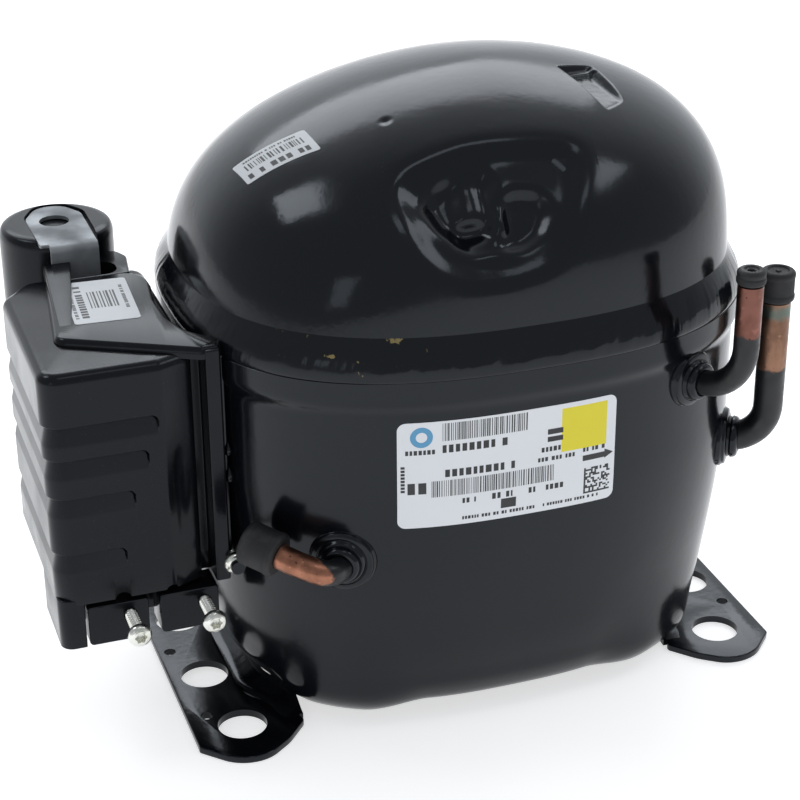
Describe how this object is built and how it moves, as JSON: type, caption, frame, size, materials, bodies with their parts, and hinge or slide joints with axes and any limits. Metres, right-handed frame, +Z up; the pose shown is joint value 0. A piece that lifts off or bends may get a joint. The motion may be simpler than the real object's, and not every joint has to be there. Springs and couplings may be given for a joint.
{
  "type": "hermetic reciprocating compressor",
  "caption": "Welded steel shell with domed lid on two foot plates, side terminal box with capacitor and plugged copper stubs; sprung motor and single-piston pump inside.",
  "frame": {"origin": "middle of the whole part's footprint, at the underside of the feet", "axes": "+X from the terminal box towards the suction tube, +Y away from the side with the discharge tube, +Z up along the crankshaft"},
  "size_m": [0.242, 0.1746, 0.2024],
  "materials": {
    "shell_paint": "glossy black dip paint",
    "box_plastic": "satin black moulded plastic",
    "electric_plastic": "matte black phenolic",
    "black_rubber": "matte black rubber",
    "copper_tube": "drawn copper, black paint on the bends",
    "zinc_screw": "yellow-white zinc plating",
    "galvanised_strap": "galvanised sheet",
    "bright_steel": "machined steel",
    "spring_steel": "oiled spring wire",
    "lamination": "stacked electrical steel, blued",
    "winding": "enamelled copper wire",
    "cast_iron": "as cast, bores honed",
    "cast_aluminium": "die cast",
    "gasket_fibre": "pressed fibre",
    "muffler_nylon": "natural nylon"
  },
  "bodies": {
    "compressor": {"lower_shell": "shell_paint", "upper_shell": "shell_paint", "weld_bead": "shell_paint", "left_foot": "shell_paint", "right_foot": "shell_paint", "guard_bracket": "shell_paint", "suction_collar": "shell_paint", "process_collar": "shell_paint", "discharge_collar": "shell_paint", "terminal_cover": "box_plastic", "capacitor_cover": "box_plastic", "box_base": "box_plastic", "start_relay": "electric_plastic", "overload_protector": "electric_plastic", "start_capacitor": "electric_plastic", "suction_plug": "black_rubber", "process_plug": "black_rubber", "discharge_plug": "black_rubber", "suction_pipe": "copper_tube", "process_pipe": "copper_tube", "discharge_pipe": "copper_tube", "cover_screw": "zinc_screw", "capacitor_strap": "galvanised_strap", "terminal_header": "bright_steel", "common_pin": "bright_steel", "start_pin": "bright_steel", "run_pin": "bright_steel", "spring_front_left": "spring_steel", "spring_back_left": "spring_steel", "spring_front_right": "spring_steel", "spring_back_right": "spring_steel"},
    "pump": {"crankcase_block": "cast_iron", "stator_core": "lamination", "lower_winding": "winding", "upper_winding": "winding", "valve_plate": "bright_steel", "head_gasket": "gasket_fibre", "cylinder_head": "cast_aluminium", "head_bolt_1": "bright_steel", "head_bolt_2": "bright_steel", "head_bolt_3": "bright_steel", "head_bolt_4": "bright_steel", "suction_muffler": "muffler_nylon", "discharge_loop": "copper_tube"},
    "crank": {"crankshaft": "bright_steel", "rotor": "lamination", "counterweight": "cast_iron", "oil_pickup": "bright_steel"},
    "rod": {"connecting_rod": "cast_aluminium"},
    "piston": {"piston": "cast_iron", "wrist_pin": "bright_steel"},
    "suction_reed": {"suction_reed": "bright_steel"},
    "discharge_reed": {"discharge_reed": "bright_steel"},
    "left_clamp": {"left_cord_clamp": "box_plastic"},
    "right_clamp": {"right_cord_clamp": "box_plastic"},
    "left_clamp_screw": {"left_clamp_screw": "zinc_screw"},
    "right_clamp_screw": {"right_clamp_screw": "zinc_screw"}
  },
  "joints": [
    {"name": "pump_float", "type": "slide", "parent": "compressor", "child": "pump", "axis": [0, 0, 1], "range_m": [-0.0025, 0.0025], "stiffness_N_per_m": 20000, "springref_m": 0.00294, "deforming": ["spring_front_left", "spring_back_left", "spring_front_right", "spring_back_right", "discharge_loop"]},
    {"name": "crank_turn", "type": "hinge", "parent": "pump", "child": "crank", "pos_m": [0.01878, 0.00544, 0.1505], "axis": [0, 0, 1], "range_deg": [-45, 45]},
    {"name": "rod_swing", "type": "hinge", "parent": "crank", "child": "rod", "pos_m": [0.01878, 0.01204, 0.1505], "axis": [0, 0, 1], "range_deg": [-45, 45]},
    {"name": "piston_stroke", "type": "slide", "parent": "pump", "child": "piston", "axis": [1, 0, 0], "range_m": [-0.0049, 0.0049]},
    {"name": "suction_reed_lift", "type": "hinge", "parent": "pump", "child": "suction_reed", "pos_m": [0.07728, -0.00056, 0.1425], "axis": [0, -1, 0], "range_deg": [0, 2], "stiffness_Nm_per_rad": 0.002},
    {"name": "discharge_reed_lift", "type": "hinge", "parent": "pump", "child": "discharge_reed", "pos_m": [0.08138, 0.01144, 0.1425], "axis": [0, 1, 0], "range_deg": [0, 2], "stiffness_Nm_per_rad": 0.002},
    {"name": "left_clamp_close", "type": "slide", "parent": "compressor", "child": "left_clamp", "axis": [0, 1, 0], "range_m": [0, 0.003]},
    {"name": "left_screw_drive", "type": "slide", "parent": "left_clamp", "child": "left_clamp_screw", "axis": [0, 1, 0], "range_m": [0, 0.009]},
    {"name": "right_clamp_close", "type": "slide", "parent": "compressor", "child": "right_clamp", "axis": [0, 1, 0], "range_m": [0, 0.003]},
    {"name": "right_screw_drive", "type": "slide", "parent": "right_clamp", "child": "right_clamp_screw", "axis": [0, 1, 0], "range_m": [0, 0.009]}
  ],
  "couplings": [
    {"joint": "rod_swing", "follows": "crank_turn", "ratio": -1},
    {"joint": "piston_stroke", "follows": "crank_turn", "m_per_rad": -0.00614}
  ]
}
